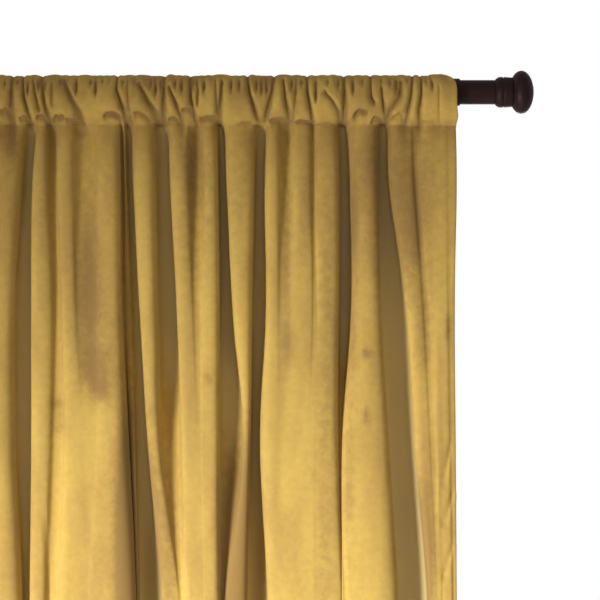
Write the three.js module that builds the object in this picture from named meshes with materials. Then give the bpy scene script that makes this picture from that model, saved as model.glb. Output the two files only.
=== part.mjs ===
// A velvet rod pocket curtain, gathered on an adjustable curtain rod with a knob at each end.
// Millimetres. +Z is up, the room is at -Y and the wall at +Y. The rod's axis is Y = Z = 0, with its middle at X = 0.
import * as THREE from 'three';

// Curtain panel
const cloth = 2; // thickness of the velvet
const panelHalf = 325; // half of the gathered width
const seamDrop = 35; // rod axis down to the pocket's seam
const seamReach = 5; // how far the gathers stand out at the seam, to either side
const foldFront = 22; // how far the folds come towards the room
const foldBack = 18; // and towards the wall
const foldOpening = 34; // the folds open within about this distance below the seam
const pocketTop = 17.2; // outside of the cloth above the rod's axis in a crease, where it rests on the rod
const pocketHalf = 19; // and in front of the axis and behind it
const pocketSteps = 6; // over the top of the rod, from front to back
const pocketPuff = 3.6; // the gathers over the rod stand this much higher than its creases
const pocketDraw = 5; // each side edge is drawn in by this over the rod
const creaseHalf = 7; // half width of a crease in the pocket
const edgeTurn = 4; // each side edge falls back from the last fold by this
const softRoll = 4 / 3; // roll of a side that doesn't turn under
const shallow = 0.7; // a valley that is never deeper than this needs fewer points
const measuredHere = 4; // at the first four levels
const softStops = [0, 0.5]; // points along each side of a shallow valley
const deepStops = [0, 0.2, 0.5, 0.8]; // and of a deep one

// Curtain rod
const outerTube = { radius: 14.3, wall: 1, left: -366, right: 330.2 };
const innerTube = { radius: 12.7, wall: 1, left: 20, right: 366 };
const tubeRound = 1.6; // rolled edge at the open end of the outer tube
const gap = 0.3; // between pieces that touch
const collar = { radius: 15.9, length: 18.7, shoulder: 3.2, endRadius: 15.3, plug: 16, hole: 4.4 };
const groove = { along: 9.4, deep: 0.9, half: 0.8 }; // round the middle of the collar
// A flattened ball cut off at the collar
const knob = { radius: 22.4, half: 12.8, widest: 9.4, stud: 4, studLength: 10 };
const knobSteps = 12; // along the knob's round
const roundSteps = 40; // sides of everything turned

// Heights at which the folds are measured, below the rod's axis
const levels = { seam: -seamDrop, upper: -113, middle: -248, lower: -372, under: -528, hem: -2116 };
// Heights of the rows of points down the hanging cloth, closest where the folds open
const { seam, upper, middle, lower, under, hem } = levels;
const rowHeights = [seam, -46, -62, -85, upper, -170, middle, -310, lower, -450, under, -900, -1500, hem];

// The folds from left to right. left and right are the edges of each fold's lit front at the six heights above,
// gully is how deep the valley on its right is there (1 goes all the way back), and reach scales how far the fold
// stands out. rollLeft and rollRight are how far its sides turn under: 2 stands plumb to the wall, more is undercut.
const folds = [
  { name: 'left edge', reach: 0.8, rollLeft: 2.2, rollRight: 1.9,
    left: [-325, -325, -324, -324, -325, -325], right: [-292, -290, -288, -289, -292, -290],
    gully: [1, 1, 1, 1, 0.9, 0.9] },
  { name: 'first', reach: 1, rollLeft: 2.4, rollRight: 1.8,
    left: [-283, -280, -277, -274, -278, -276], right: [-250, -247, -243, -240, -245, -243],
    gully: [1, 1, 0.9, 0.9, 1, 1] },
  { name: 'second', reach: 0.95, rollLeft: 2.4, rollRight: 1.9,
    left: [-241, -236, -232, -230, -233, -231], right: [-207, -203, -200, -201, -200, -198],
    gully: [1, 1, 1, 1, 1, 0.9] },
  { name: 'third', reach: 0.9, rollLeft: 2.4, rollRight: 1.8,
    left: [-197, -193, -190, -190, -188, -186], right: [-168, -165, -164, -163, -164, -162],
    gully: [0.9, 0.9, 0.85, 0.9, 0.9, 0.9] },
  { name: 'fourth', reach: 1, rollLeft: 2.2, rollRight: 1.6,
    left: [-157, -156, -156, -156, -157, -156], right: [-123, -128.5, -137.5, -135.5, -127.5, -125],
    gully: [1, 1, 1, 1, 0.8, 0.9] },
  { name: 'fifth', reach: 0.9, rollLeft: 2.4, rollRight: 1.6,
    left: [-109.5, -114, -114, -114, -116, -113], right: [-95, -92, -89, -94, -99, -97],
    gully: [0.8, 0.6, 0.4, 0.3, 0.25, 0.3] },
  { name: 'sixth', reach: 1, rollLeft: 2.4, rollRight: 1.6,
    left: [-87, -85.5, -80.5, -84, -92, -90], right: [-62, -61, -54.5, -54, -58, -56],
    gully: [0.5, 0.35, 0.12, 0.06, 0.05, 0.2] },
  { name: 'seventh', reach: 1, rollLeft: 2, rollRight: 1.8,
    left: [-53.5, -53.5, -49.5, -47, -50, -46], right: [-22.5, -21.5, -22, -24.5, -28.5, -22],
    gully: [1, 1, 1, 1, 1, 1] },
  { name: 'eighth', reach: 0.95, rollLeft: 2.4, rollRight: 1.8,
    left: [-12, -8, -0.5, 6, 20.5, 14], right: [16, 16, 18, 22.5, 39, 37],
    gully: [1, 1, 1, 0.8, 0.35, 0.35] },
  { name: 'ninth', reach: 0.9, rollLeft: 2.4, rollRight: 1.6,
    left: [26.5, 30.5, 38, 41, 47, 48], right: [50.5, 51.5, 54, 58, 61, 61],
    gully: [0.6, 0.4, 0.12, 0.05, 0.05, 0.1] },
  { name: 'tenth', reach: 1, rollLeft: 2, rollRight: 2.4,
    left: [60, 62, 59, 63, 66, 66], right: [76.5, 78, 79.5, 80.5, 82, 85],
    gully: [1, 1, 1, 0.9, 0.6, 0.8] },
  { name: 'eleventh', reach: 0.95, rollLeft: 2.3, rollRight: 2.1,
    left: [85, 88.5, 96, 101, 94, 97], right: [118, 116.5, 114, 112, 107.5, 112],
    gully: [1, 1, 1, 1, 1, 1] },
  { name: 'twelfth', reach: 1, rollLeft: 2.4, rollRight: 1.6,
    left: [129.5, 127.5, 128.5, 123, 132.5, 128.5], right: [146, 146, 146, 144, 151, 151],
    gully: [0.5, 0.3, 0.1, 0.05, 0.05, 0.1] },
  { name: 'thirteenth', reach: 1.05, rollLeft: 1.8, rollRight: 1.6,
    left: [154.5, 154.5, 153, 152, 158, 158], right: [174, 175, 176, 174, 178, 180],
    gully: [0.4, 0.3, 0.15, 0.08, 0.08, 0.1] },
  { name: 'fourteenth', reach: 0.95, rollLeft: 1.8, rollRight: 2.2,
    left: [182.5, 183.5, 183.5, 181, 184.5, 186.5], right: [204.5, 205, 204, 203.5, 208, 207],
    gully: [1, 1, 0.85, 0.5, 0.4, 0.5] },
  { name: 'fifteenth', reach: 0.9, rollLeft: 2.2, rollRight: 1.8,
    left: [211.5, 216, 215, 208.5, 213.5, 218], right: [247, 246, 249, 256.5, 265.5, 263],
    gully: [1, 1, 0.9, 0.8, 0.7, 0.7] },
  { name: 'sixteenth', reach: 0.9, rollLeft: 2.3, rollRight: 1.6,
    left: [255.5, 258.5, 276, 283.5, 297, 285], right: [277, 279, 294, 300, 307, 303],
    gully: [0.5, 0.35, 0.25, 0.2, 0.2, 0.3] },
  { name: 'right edge', reach: 0.85, rollLeft: 1.8, rollRight: 1.6,
    left: [287.5, 288.5, 299, 304, 311.5, 309], right: [325, 325, 323, 324, 325, 325],
    gully: [0, 0, 0, 0, 0, 0] },
];

// Creases of the gathers in the pocket: where each starts over the rod and ends at the seam, and its depth
const creases = [
  { top: -308, seam: -306, depth: 0.8 },
  { top: -284, seam: -288, depth: 1 },
  { top: -262, seam: -258, depth: 0.7 },
  { top: -240, seam: -246, depth: 1 },
  { top: -214, seam: -212, depth: 0.8 },
  { top: -192, seam: -200, depth: 1 },
  { top: -163, seam: -160, depth: 0.7 },
  { top: -135, seam: -134, depth: 0.9 },
  { top: -121, seam: -115, depth: 1 },
  { top: -111, seam: -91, depth: 0.9 },
  { top: -75, seam: -57, depth: 0.8 },
  { top: -26, seam: -15, depth: 1 },
  { top: 1, seam: 18, depth: 1 },
  { top: 32, seam: 43, depth: 0.8 },
  { top: 51, seam: 60, depth: 0.7 },
  { top: 83, seam: 80, depth: 1 },
  { top: 109, seam: 120, depth: 1 },
  { top: 136, seam: 127, depth: 0.8 },
  { top: 148, seam: 153, depth: 0.7 },
  { top: 171, seam: 179, depth: 0.9 },
  { top: 198, seam: 208, depth: 1 },
  { top: 250, seam: 253, depth: 1 },
  { top: 268, seam: 252, depth: 0.8 },
  { top: 289, seam: 287, depth: 0.7 },
];

// The pocket's outside in section, front and back, below the rod: y towards the wall, z up
const pocketFront = [{ y: -14, z: -33 }, { y: -21, z: -21 }];
const pocketBack = [{ y: 17.5, z: -17 }];

// Value of a fold's column at a height, smoothly between the measured levels. The folds settle as they fall, so
// the levels are spaced by the logarithm of their drop.
function atHeight(column, z) {
  const drops = Object.values(levels).map((height) => Math.log(-height));
  const curve = new THREE.CubicInterpolant(drops, column, 1);
  return curve.evaluate(THREE.MathUtils.clamp(Math.log(-z), drops[0], drops[drops.length - 1]))[0];
}

// How far the folds have opened at a height, 0 at the seam and 1 well below it
function openAt(z) {
  return 1 - Math.exp(-(levels.seam - z) / foldOpening);
}

// The folds at a height, with their crests and the valley on the right of each
function foldsAt(z) {
  const open = openAt(z);
  const front = THREE.MathUtils.lerp(seamReach, foldFront, open);
  const back = THREE.MathUtils.lerp(seamReach, foldBack, open);
  return folds.map((fold, index) => {
    const left = atHeight(fold.left, z);
    const right = atHeight(fold.right, z);
    const crest = new THREE.Vector2((left + right) / 2, -front * fold.reach);
    const beyond = index < folds.length - 1 ? atHeight(folds[index + 1].left, z) : right;
    const gully = atHeight(fold.gully, z);
    const valley = new THREE.Vector2((right + beyond) / 2, THREE.MathUtils.lerp(crest.y, back, gully));
    const turned = gully * open;
    return { left, right, crest, valley, turned };
  });
}

// One side of a fold, from a crest to a valley or back, that passes the fold's visible edge half way
function sideCurve(start, end, edge, roll) {
  const half = (end.x - start.x) / 2;
  const lean = softRoll * (edge - (start.x + half));
  const startBend = new THREE.Vector2(start.x + roll * half + lean, start.y);
  const endBend = new THREE.Vector2(end.x - roll * half + lean, end.y);
  return new THREE.CubicBezierCurve(start, startBend, endBend, end);
}

// Roll of a fold's side next to a valley: turned is 0 beside a flat valley and 1 beside a deep open one
function rollAt(roll, turned) {
  return THREE.MathUtils.lerp(softRoll, roll, turned);
}

// The middle of the cloth across the panel at a height, with the direction of the cloth at each point
function sectionAt(z) {
  const here = foldsAt(z);
  const first = here[0];
  const last = here[here.length - 1];
  const leftEdge = new THREE.Vector2(first.left, first.crest.y + edgeTurn);
  const rightEdge = new THREE.Vector2(last.right, last.crest.y + edgeTurn);
  const leftMiddle = (first.left + first.crest.x) / 2;
  const rightMiddle = (last.crest.x + last.right) / 2;
  const sides = [{ curve: sideCurve(leftEdge, first.crest, leftMiddle, softRoll), stops: softStops }];
  here.slice(0, -1).forEach(({ right, crest, valley, turned }, index) => {
    const next = here[index + 1];
    const { gully, rollRight } = folds[index];
    const { rollLeft } = folds[index + 1];
    const stops = Math.max(...gully.slice(0, measuredHere)) < shallow ? softStops : deepStops;
    sides.push({ curve: sideCurve(crest, valley, right, rollAt(rollRight, turned)), stops });
    sides.push({ curve: sideCurve(valley, next.crest, next.left, rollAt(rollLeft, turned)), stops });
  });
  sides.push({ curve: sideCurve(last.crest, rightEdge, rightMiddle, softRoll), stops: softStops });
  const points = sides.flatMap(({ curve, stops }) => stops.map((stop) => (
    { at: curve.getPoint(stop), along: curve.getTangent(stop) }
  )));
  points.push({ at: rightEdge, along: new THREE.Vector2(1, 0) });
  return points;
}

// The front and back surfaces of the hanging cloth at a height
function hangingRow(z) {
  const half = z === levels.seam ? cloth : cloth / 2; // two layers meet in the seam
  return sectionAt(z).map(({ at, along }) => {
    const aside = new THREE.Vector2(along.y, -along.x).normalize().multiplyScalar(half);
    return {
      front: new THREE.Vector3(at.x + aside.x, at.y + aside.y, z),
      back: new THREE.Vector3(at.x - aside.x, at.y - aside.y, z),
    };
  });
}

// The pocket's outside in section, from just above the seam in front, over the rod, to above the seam behind
function pocketSection() {
  const points = pocketFront.map(({ y, z }) => new THREE.Vector2(y, z));
  for (let step = 0; step <= pocketSteps; step += 1) {
    const angle = Math.PI - (Math.PI * step) / pocketSteps;
    points.push(new THREE.Vector2(pocketHalf * Math.cos(angle), pocketTop * Math.sin(angle)));
  }
  pocketBack.forEach(({ y, z }) => points.push(new THREE.Vector2(y, z)));
  return points;
}

// How high the gathers stand at a place on the pocket, from 0 in a crease to 1 between creases
function gatherAt(x, z) {
  const down = THREE.MathUtils.clamp((pocketTop - z) / (pocketTop + seamDrop), 0, 1);
  let height = 1;
  for (const crease of creases) {
    const distance = (x - THREE.MathUtils.lerp(crease.top, crease.seam, down)) / creaseHalf;
    height *= 1 - crease.depth * Math.exp(-distance * distance);
  }
  return height;
}

// The outer and inner surfaces of the pocket, one row for each point of its section
function pocketRows(seamRow) {
  const section = pocketSection();
  const inward = section.map((point, index) => {
    const before = section[Math.max(index - 1, 0)];
    const after = section[Math.min(index + 1, section.length - 1)];
    const along = after.clone().sub(before).normalize();
    return new THREE.Vector2(along.y, -along.x).multiplyScalar(cloth);
  });
  return section.map((point, index) => seamRow.map(({ front }) => {
    const lift = THREE.MathUtils.clamp(point.y / pocketTop, 0, 1);
    const x = front.x * (1 - (pocketDraw / panelHalf) * lift);
    const puff = pocketPuff * gatherAt(x, point.y);
    const aside = inward[index].clone().multiplyScalar(-puff / cloth);
    return {
      outer: new THREE.Vector3(x, point.x + aside.x, point.y + aside.y),
      inner: new THREE.Vector3(x, point.x + inward[index].x + aside.x, point.y + inward[index].y + aside.y),
    };
  }));
}

// Joins rows of points, each as long as the next, into a surface that faces the side from which the rows
// run left to right and then on to the next
function addSheet(triangles, rows) {
  for (let row = 0; row < rows.length - 1; row += 1) {
    for (let column = 0; column < rows[row].length - 1; column += 1) {
      const low = rows[row];
      const high = rows[row + 1];
      triangles.push(low[column], low[column + 1], high[column + 1]);
      triangles.push(low[column], high[column + 1], high[column]);
    }
  }
}

// Closed side of the panel at its first or last column: the cloth's thickness down the drop and the pocket
function addSideEdge(triangles, front, back, outer, inner, crotch, flipped) {
  const faces = [];
  for (let row = 0; row < front.length - 1; row += 1) {
    faces.push([front[row], front[row + 1], back[row + 1], back[row]]);
  }
  const top = front.length - 1;
  const outside = [front[top], ...outer, back[top]];
  const inside = [crotch, ...inner, crotch];
  faces.push([front[top], crotch, back[top]]);
  for (let step = 0; step < outside.length - 1; step += 1) {
    const strip = [outside[step], outside[step + 1], inside[step + 1], inside[step]];
    faces.push(strip.filter((point, index) => strip.indexOf(point) === index));
  }
  for (const face of faces) {
    const turned = flipped ? face.slice().reverse() : face;
    for (let corner = 1; corner < turned.length - 1; corner += 1) {
      triangles.push(turned[0], turned[corner], turned[corner + 1]);
    }
  }
}

function curtainGeometry() {
  const hanging = [...rowHeights].reverse().map(hangingRow);
  const seamRow = hanging[hanging.length - 1];
  const pocket = pocketRows(seamRow);
  const front = hanging.map((row) => row.map((point) => point.front));
  const back = hanging.map((row) => row.map((point) => point.back));
  const outer = pocket.map((row) => row.map((point) => point.outer));
  const inner = pocket.map((row) => row.map((point) => point.inner));
  const crotch = seamRow.map(({ front: near, back: far }) => (
    new THREE.Vector3().lerpVectors(near, far, 0.5).setZ(levels.seam + cloth)
  ));
  const triangles = [];
  addSheet(triangles, [...front, ...outer, ...[...back].reverse(), front[0]]);
  addSheet(triangles, [crotch, ...inner.slice().reverse(), crotch]);
  for (const column of [0, seamRow.length - 1]) {
    const surfaces = [front, back, outer, inner].map((rows) => rows.map((row) => row[column]));
    addSideEdge(triangles, ...surfaces, crotch[column], column > 0);
  }
  const geometry = new THREE.BufferGeometry().setFromPoints(triangles);
  geometry.computeVertexNormals();
  return geometry;
}

// A turned piece along the rod, from a closed profile of (radius, distance along the rod)
function turned(profile) {
  const points = profile.map(([radius, along]) => new THREE.Vector2(radius, along));
  const geometry = new THREE.LatheGeometry(points, roundSteps);
  geometry.rotateZ(-Math.PI / 2);
  return geometry;
}

function tubeGeometry({ radius, wall, left, right }, round) {
  return turned([
    [radius, left],
    [radius, right - round],
    [radius - wall * 0.3, right - round * 0.3],
    [radius - wall, right],
    [radius - wall, left],
    [radius, left],
  ]);
}

// Collar on the end of a tube: its plug goes into the tube, and it is widest at the groove round its middle
function collarGeometry(tube) {
  const plugRadius = tube.radius - tube.wall - gap;
  return turned([
    [plugRadius, -collar.plug],
    [plugRadius, gap],
    [tube.radius, gap],
    [collar.radius - 0.6, gap + collar.shoulder * 0.5],
    [collar.radius - 0.1, gap + collar.shoulder],
    [collar.radius, groove.along - groove.half],
    [collar.radius - groove.deep, groove.along],
    [collar.radius, groove.along + groove.half],
    [collar.endRadius, collar.length],
    [collar.hole, collar.length],
    [collar.hole, -collar.plug],
    [plugRadius, -collar.plug],
  ]);
}

// Knob, with the stud that goes into the collar. Its round starts at the collar and ends at the tip.
function knobGeometry() {
  const profile = [[0, -knob.studLength], [knob.stud, -knob.studLength], [knob.stud, gap]];
  const start = Math.acos((gap - knob.widest) / knob.half);
  for (let step = 0; step <= knobSteps; step += 1) {
    const angle = THREE.MathUtils.lerp(start, 0, step / knobSteps);
    const radius = step === knobSteps ? 0 : knob.radius * Math.sin(angle);
    profile.push([radius, knob.widest + knob.half * Math.cos(angle)]);
  }
  return turned(profile);
}

function velvet() {
  return new THREE.MeshStandardMaterial({ name: 'velvet', color: 0xb9924a, roughness: 0.9, metalness: 0 });
}

function bronzePaint() {
  const finish = { color: 0x241b1b, roughness: 0.4, metalness: 0.2 };
  return new THREE.MeshStandardMaterial({ name: 'bronze_paint', ...finish });
}

function addPiece(parent, name, geometry, material) {
  const piece = new THREE.Mesh(geometry, material);
  piece.name = name;
  parent.add(piece);
  return piece;
}

// Collar and knob on one end of the rod, built pointing right and turned round for the left end
function finial(side, tube, end) {
  const group = new THREE.Group();
  addPiece(group, `finial_collar_${side}`, collarGeometry(tube), bronzePaint());
  const cap = addPiece(group, `finial_knob_${side}`, knobGeometry(), bronzePaint());
  cap.position.x = collar.length;
  group.position.x = end;
  if (side === 'left') {
    group.rotation.z = Math.PI;
  }
  return group;
}

const curtain = new THREE.Group();
addPiece(curtain, 'curtain_panel', curtainGeometry(), velvet());
addPiece(curtain, 'rod_outer_tube', tubeGeometry(outerTube, tubeRound), bronzePaint());
addPiece(curtain, 'rod_inner_tube', tubeGeometry(innerTube, 0.3), bronzePaint());
curtain.add(finial('right', innerTube, innerTube.right));
curtain.add(finial('left', outerTube, outerTube.left));

export default curtain;
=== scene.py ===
import math
import bpy
import numpy as np
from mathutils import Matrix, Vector


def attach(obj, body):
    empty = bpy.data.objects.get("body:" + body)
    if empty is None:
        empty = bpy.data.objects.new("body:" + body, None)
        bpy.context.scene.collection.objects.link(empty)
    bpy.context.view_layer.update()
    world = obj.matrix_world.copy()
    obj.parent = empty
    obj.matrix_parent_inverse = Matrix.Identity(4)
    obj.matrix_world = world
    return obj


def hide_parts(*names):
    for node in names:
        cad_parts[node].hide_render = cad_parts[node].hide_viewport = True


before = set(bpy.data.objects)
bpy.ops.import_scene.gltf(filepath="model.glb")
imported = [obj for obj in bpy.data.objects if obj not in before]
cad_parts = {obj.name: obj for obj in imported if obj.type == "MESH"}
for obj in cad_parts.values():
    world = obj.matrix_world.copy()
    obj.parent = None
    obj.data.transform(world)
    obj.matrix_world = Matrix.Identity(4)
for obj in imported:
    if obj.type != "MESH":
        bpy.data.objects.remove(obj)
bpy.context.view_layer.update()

mm = 0.001  # all sizes are in millimetres, but for the few that a note gives in metres


def hexColour(text):
    # sRGB hex to linear, with alpha
    parts = [int(text[i:i + 2], 16) / 255 for i in (1, 3, 5)]
    return tuple(c / 12.92 if c <= 0.04045 else ((c + 0.055) / 1.055) ** 2.4 for c in parts) + (1.0,)


def addNode(tree, kind, settings=None, links=None):
    # one node: settings are its properties or input values, links its inputs from other nodes' outputs
    node = tree.nodes.new(kind)
    for key, value in (settings or {}).items():
        if isinstance(key, str) and hasattr(node, key):
            setattr(node, key, value)
        else:
            node.inputs[key].default_value = value
    for key, (source, output) in (links or {}).items():
        tree.links.new(source.outputs[output], node.inputs[key])
    return node


def newMaterial(name):
    # an empty node material with its output
    material = bpy.data.materials.new(name)
    material.use_nodes = True
    material.node_tree.nodes.clear()
    return material, material.node_tree, material.node_tree.nodes.new("ShaderNodeOutputMaterial")


def smoothStep(low, high, value):
    t = np.clip((value - low) / (high - low), 0, 1)
    return t * t * (3 - 2 * t)


def bell(distance):
    return np.exp(-distance * distance)


def hermite(stops, values, at):
    # smooth curve through values at stops, the tangents from the neighbours on each side
    stops, values, at = np.asarray(stops, float), np.asarray(values, float), np.asarray(at, float)
    slope = np.gradient(values, stops)
    i = np.clip(np.searchsorted(stops, at) - 1, 0, len(stops) - 2)
    gap = stops[i + 1] - stops[i]
    t = np.clip((at - stops[i]) / gap, 0, 1)
    h1 = t * t * (3 - 2 * t)
    h2 = t * (1 - t) ** 2
    h3 = t * t * (t - 1)
    return values[i] * (1 - h1) + values[i + 1] * h1 + slope[i] * gap * h2 + slope[i + 1] * gap * h3


def waves(u, v, size, seed):
    # gentle uneven ripples between -1 and 1: a few crossing sine waves, size is about their length
    draw = np.random.default_rng(seed)
    total = 0
    for turn in range(6):
        angle = draw.uniform(0, math.tau)
        length = size * draw.uniform(0.7, 1.7)
        phase = draw.uniform(0, math.tau)
        total = total + np.sin((u * math.cos(angle) + v * math.sin(angle)) * math.tau / length + phase)
    return total / 6


def meshObject(name, verts, faces, material):
    # a smooth shaded piece from points in millimetres, riding on the curtain's one body
    mesh = bpy.data.meshes.new(name)
    mesh.from_pydata((np.asarray(verts) * mm).tolist(), [], faces)
    mesh.polygons.foreach_set("use_smooth", [True] * len(mesh.polygons))
    mesh.materials.append(material)
    obj = bpy.data.objects.new(name, mesh)
    bpy.context.scene.collection.objects.link(obj)
    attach(obj, "root")
    return obj


def gridFaces(rows, columns):
    index = np.arange(rows * columns).reshape(rows, columns)
    quads = np.stack([index[:-1, :-1], index[1:, :-1], index[1:, 1:], index[:-1, 1:]], -1)
    return quads.reshape(-1, 4).tolist()


# the camera looks straight at the curtain's top right corner
view = dict(centreX=164.0, centreZ=-216.0, spans=624.0, distance=2600.0)
cameraData = bpy.data.cameras.new("camera")
cameraData.sensor_width = 36
cameraData.lens = 36 * view["distance"] / view["spans"]
cameraData.clip_end = 30
camera = bpy.data.objects.new("camera", cameraData)
camera.location = Vector((view["centreX"], -view["distance"], view["centreZ"])) * mm
camera.rotation_euler = (math.radians(90), 0, 0)
bpy.context.scene.collection.objects.link(camera)
bpy.context.scene.camera = camera

velvet = dict(pile="#b99c4b", shaded="#997a3e", brushedAndShaded="#876b37", paintedFoldLight="#c2b177", back="#a08149",
              sheen="#f2d98f", sheenWeight=0.25, sheenRoughness=0.45, roughness=0.86, specular=0.2,
              streak=38.0, streakLength=4.0, mottle=0.6, fleck=7.0, fleckTone=0.35, stroke=8.0,
              raggedness=0.85, pileGrain=1.3, pileHeight=0.35, relief=0.35)


def velvetMaterial():
    # cotton velvet, woven with a cut pile that is brushed downwards: it glows softly at its edges and darkens
    # where the pile is rubbed the other way. Its darker rubbed colour also paints shade into the gathers and
    # low slots, and a paler colour paints light into the folds. Its back is a plain weave, browner than the
    # pile
    v = velvet
    material, tree, output = newMaterial("cotton_velvet")
    place = addNode(tree, "ShaderNodeTexCoord")
    # brushed streaks run down the cloth, so their pattern is drawn out along Z
    drawnOut = addNode(tree, "ShaderNodeMapping", {"Scale": (1, 1, 1 / v["streakLength"])},
                       {"Vector": (place, "Object")})
    streaks = addNode(tree, "ShaderNodeTexNoise",
                      {"Scale": 1000 / v["streak"], "Detail": 3, "Roughness": 0.55},
                      {"Vector": (drawnOut, "Vector")})
    flecks = addNode(tree, "ShaderNodeTexNoise", {"Scale": 1000 / v["fleck"], "Detail": 4, "Roughness": 0.6},
                     {"Vector": (place, "Object")})
    # tufts of pile are 0.3 mm apart, drawn four times coarser so that they show
    tufts = addNode(tree, "ShaderNodeTexNoise",
                    {"Scale": 1000 / v["pileGrain"], "Detail": 2, "Roughness": 0.7},
                    {"Vector": (place, "Object")})
    streakTone = addNode(tree, "ShaderNodeMapRange",
                         {"From Min": 0.38, "From Max": 0.68}, {"Value": (streaks, "Fac")})
    fleckTone = addNode(tree, "ShaderNodeMapRange",
                        {"From Min": 0.3, "From Max": 0.75, "To Max": v["fleckTone"]},
                        {"Value": (flecks, "Fac")})
    mottle = addNode(tree, "ShaderNodeMath", {"operation": "MULTIPLY_ADD", 1: v["mottle"]},
                     {0: (streakTone, "Result"), 2: (fleckTone, "Result")})
    piled = addNode(tree, "ShaderNodeMix",
                    {"data_type": "RGBA", 6: hexColour(v["pile"]), 7: hexColour(v["shaded"])},
                    {0: (mottle, "Value")})
    napAndShade = addNode(tree, "ShaderNodeAttribute", {"attribute_name": "napAndShade"})
    # the rubbed patches and the painted shade break up into strokes at their edges
    strokes = addNode(tree, "ShaderNodeTexNoise",
                      {"Scale": 1000 / v["stroke"], "Detail": 5, "Roughness": 0.65},
                      {"Vector": (place, "Object")})
    ragged = addNode(tree, "ShaderNodeMath", {"operation": "MULTIPLY_ADD", 1: v["raggedness"]},
                     {0: (strokes, "Fac"), 2: (napAndShade, "Fac")})
    rubbedAndShaded = addNode(tree, "ShaderNodeMapRange",
                     {"interpolation_type": "SMOOTHSTEP", "From Min": 0.5 * v["raggedness"],
                      "From Max": 0.9 + 0.5 * v["raggedness"]}, {"Value": (ragged, "Value")})
    front = addNode(tree, "ShaderNodeMix", {"data_type": "RGBA", 7: hexColour(v["brushedAndShaded"])},
                    {0: (rubbedAndShaded, "Result"), 6: (piled, 2)})
    # painted light: the cloth lying back in the folds is given a paler, duller colour, so that the shade there
    # doesn't look brown
    deep = addNode(tree, "ShaderNodeAttribute", {"attribute_name": "deep"})
    paintedFoldColour = addNode(tree, "ShaderNodeMix", {"data_type": "RGBA", 7: hexColour(v["paintedFoldLight"])},
                     {0: (deep, "Fac"), 6: (front, 2)})
    side = addNode(tree, "ShaderNodeNewGeometry")
    bothSides = addNode(tree, "ShaderNodeMix", {"data_type": "RGBA", 7: hexColour(v["back"])},
                        {0: (side, "Backfacing"), 6: (paintedFoldColour, 2)})
    relief = addNode(tree, "ShaderNodeBump", {"Strength": v["relief"], "Distance": v["pileHeight"] * mm},
                     {"Height": (tufts, "Fac")})
    shader = addNode(tree, "ShaderNodeBsdfPrincipled",
                     {"Roughness": v["roughness"], "Sheen Weight": v["sheenWeight"],
                      "Sheen Roughness": v["sheenRoughness"], "Sheen Tint": hexColour(v["sheen"]),
                      "Specular IOR Level": v["specular"]},
                     {"Base Color": (bothSides, 2), "Normal": (relief, "Normal")})
    tree.links.new(shader.outputs["BSDF"], output.inputs["Surface"])
    return material


thread = dict(dark="#94743a", light="#b79450", ply=0.4, roughness=0.55)


def threadMaterial():
    # spun polyester sewing thread, dyed to match: smoother than the pile, with fine twisted plies
    t = thread
    material, tree, output = newMaterial("polyester_thread")
    place = addNode(tree, "ShaderNodeTexCoord")
    plies = addNode(tree, "ShaderNodeTexNoise",
                    {"Scale": 1000 / t["ply"], "Detail": 1}, {"Vector": (place, "Object")})
    tone = addNode(tree, "ShaderNodeMix",
                   {"data_type": "RGBA", 6: hexColour(t["dark"]), 7: hexColour(t["light"])},
                   {0: (plies, "Fac")})
    shader = addNode(tree, "ShaderNodeBsdfPrincipled",
                     {"Roughness": t["roughness"]}, {"Base Color": (tone, 2)})
    tree.links.new(shader.outputs["BSDF"], output.inputs["Surface"])
    return material


paint = dict(dark="#1c0f10", light="#281719", cast="#ffd8d2", specular=0.22, smoothest=0.42, roughest=0.56,
             cloud=12.0, peel=1.1, peelDepth=0.05, relief=0.15)


def paintMaterial():
    # steel, powder coated in dark bronze: nearly black with a red cast, satin, with faint orange peel
    c = paint
    material, tree, output = newMaterial("bronze_powder_coat")
    place = addNode(tree, "ShaderNodeTexCoord")
    clouds = addNode(tree, "ShaderNodeTexNoise", {"Scale": 1000 / c["cloud"], "Detail": 3},
                     {"Vector": (place, "Object")})
    peel = addNode(tree, "ShaderNodeTexNoise",
                   {"Scale": 1000 / c["peel"], "Detail": 1}, {"Vector": (place, "Object")})
    tone = addNode(tree, "ShaderNodeMix",
                   {"data_type": "RGBA", 6: hexColour(c["dark"]), 7: hexColour(c["light"])},
                   {0: (clouds, "Fac")})
    gloss = addNode(tree, "ShaderNodeMapRange", {"To Min": c["smoothest"], "To Max": c["roughest"]},
                    {"Value": (clouds, "Fac")})
    relief = addNode(tree, "ShaderNodeBump", {"Strength": c["relief"], "Distance": c["peelDepth"] * mm},
                     {"Height": (peel, "Fac")})
    shader = addNode(tree, "ShaderNodeBsdfPrincipled",
                     {"Specular IOR Level": c["specular"], "Specular Tint": hexColour(c["cast"])},
                     {"Base Color": (tone, 2), "Roughness": (gloss, "Result"), "Normal": (relief, "Normal")})
    tree.links.new(shader.outputs["BSDF"], output.inputs["Surface"])
    return material


velvetCloth = velvetMaterial()
threadFinish = threadMaterial()
bronzePaint = paintMaterial()
print("materials", velvetCloth.name, threadFinish.name, bronzePaint.name)

# curtain panel: at each height its cloth runs in soft curves between the crests and valleys of the folds
panel = dict(half=325.0, seam=-35.0, hem=-2114.0, seamReach=5.0, foldFront=22.0, foldBack=18.0, opening=38.0,
             valleyOpening=7.0, edgeTurn=2.0, softRoll=4 / 3,
             softGully=0.7, deepSteps=14, softSteps=9, edgeSteps=9,
             closeTo=-80.0, closeRows=26, fineTo=-560.0, fineRows=125, plainRows=47,
             hemGap=2.2, hemTurn=1.1, hemSteps=4, sideHemColumns=7, bottomHem=80.0,
             gatherReach=5.5, gatherFade=18.0, seamWander=1.6, wanderSize=50.0, wanderSeed=21, wander=0.45,
             gatherShade=0.9, paintedLightFrom=2.0, paintedLightTo=15.0)
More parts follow.
